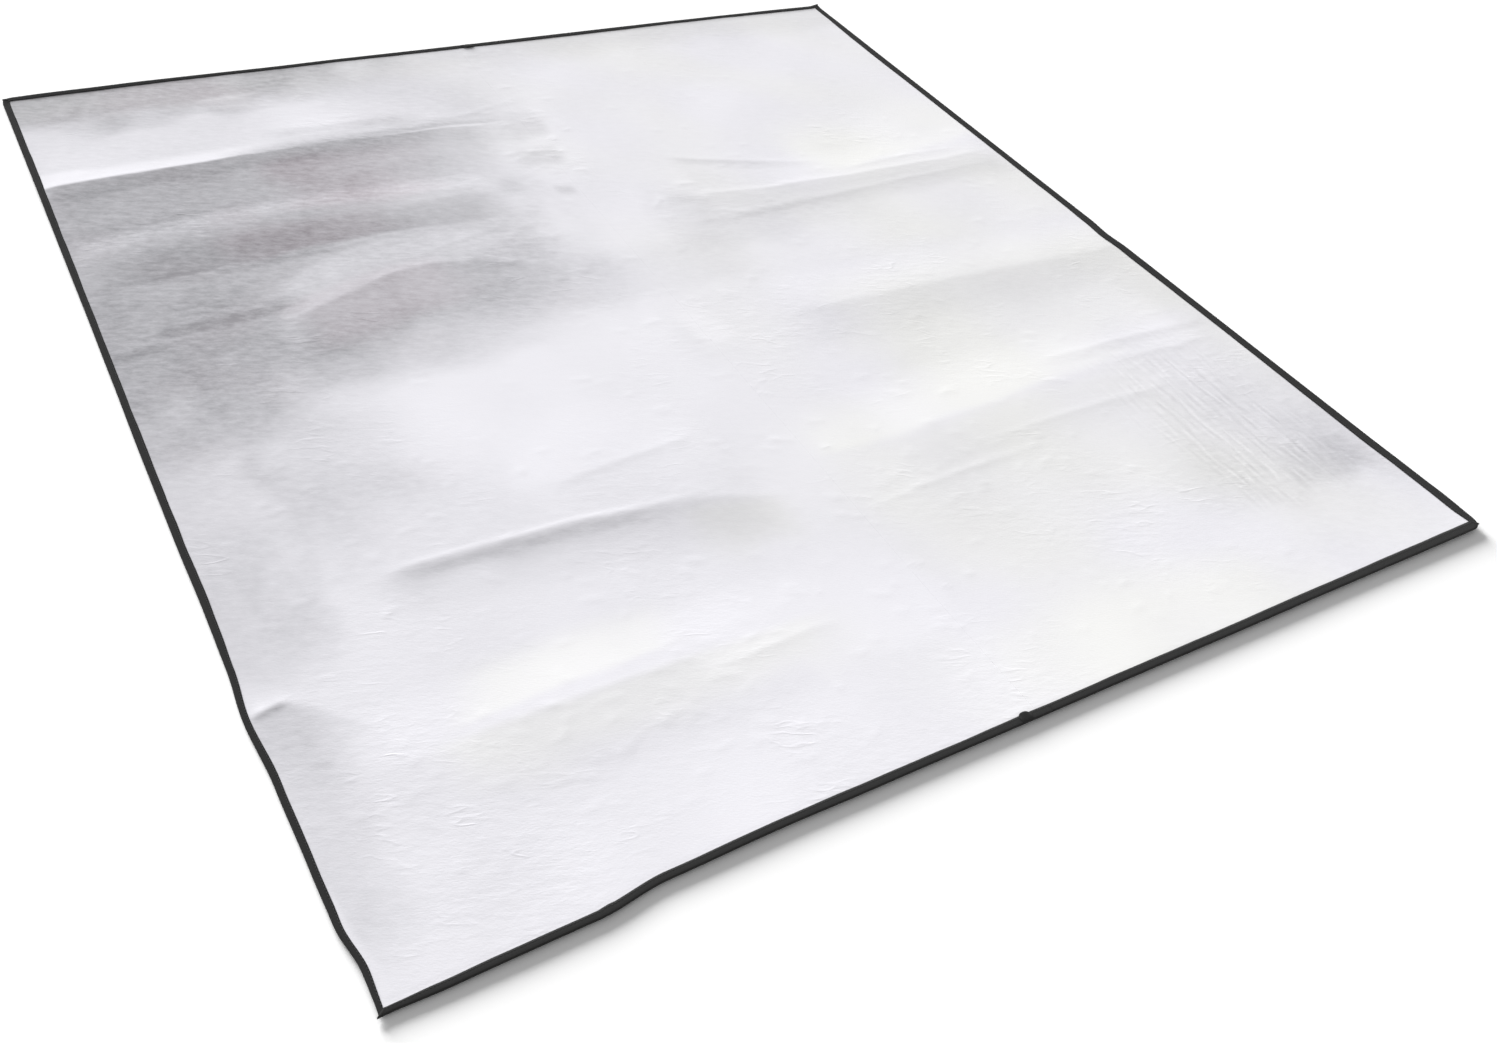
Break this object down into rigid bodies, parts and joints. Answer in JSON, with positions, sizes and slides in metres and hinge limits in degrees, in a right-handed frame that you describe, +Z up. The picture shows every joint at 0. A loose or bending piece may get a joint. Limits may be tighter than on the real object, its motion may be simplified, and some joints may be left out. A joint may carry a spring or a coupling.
{
  "type": "foam sleeping mat",
  "caption": "Thin double-width foam sleeping mat with an aluminised face on both sides, a centre seam that folds, and a dark tape bound round its edge.",
  "frame": {"origin": "on the ground under the middle of the open mat", "axes": "+X across the mat to its right side, +Y along the centre seam to its back edge, +Z up"},
  "size_m": [2.0016, 2.2034, 0.0089],
  "materials": {
    "foil_film": "satin",
    "foam": "matte",
    "binding_tape": "matte"
  },
  "bodies": {
    "left_half": {"left_base_film": "foil_film", "left_foam_core": "foam", "left_top_film": "foil_film", "seam_tape_base": "foil_film", "seam_tape_top": "foil_film", "binding_left": "binding_tape", "binding_front_left": "binding_tape", "binding_back_left": "binding_tape", "front_tape_lap": "binding_tape", "back_tape_lap": "binding_tape"},
    "right_half": {"right_base_film": "foil_film", "right_foam_core": "foam", "right_top_film": "foil_film", "binding_right": "binding_tape", "binding_front_right": "binding_tape", "binding_back_right": "binding_tape"}
  },
  "joints": [
    {"name": "centre_fold", "type": "hinge", "parent": "left_half", "child": "right_half", "pos_m": [0, 0, 0.014], "axis": [0, -1, 0], "range_deg": [0, 180], "deforming": ["seam_tape_base", "seam_tape_top", "back_tape_lap"]}
  ]
}
